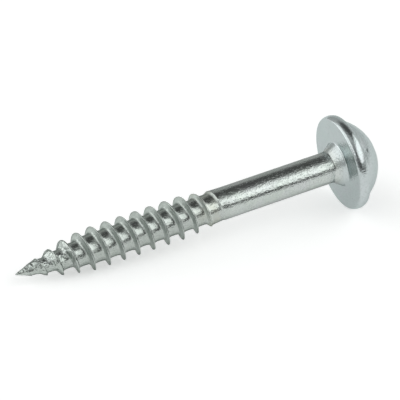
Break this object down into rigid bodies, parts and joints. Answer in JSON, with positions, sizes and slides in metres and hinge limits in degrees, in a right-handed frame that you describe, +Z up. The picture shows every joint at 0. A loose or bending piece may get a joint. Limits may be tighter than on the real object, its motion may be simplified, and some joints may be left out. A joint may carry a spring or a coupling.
{
  "type": "pocket hole screw",
  "caption": "Zinc-plated pocket hole wood screw lying at rest: wide washer under a domed head, square drive recess, plain shank and a right-hand wood thread down to a sharp point.",
  "frame": {"origin": "middle of the footprint at the level of the ground the screw lies on", "axes": "+X along the length from the point to the head, +Y across it, +Z up; the screw's own axis lies in the XZ plane and rises 5.7 degrees towards the head"},
  "size_m": [0.035, 0.0088, 0.0089],
  "materials": {
    "zinc_plated_steel": "bright zinc plating over rolled steel, lightly mottled on the thread"
  },
  "bodies": {
    "root": {"screw": "zinc_plated_steel"}
  },
  "joints": []
}
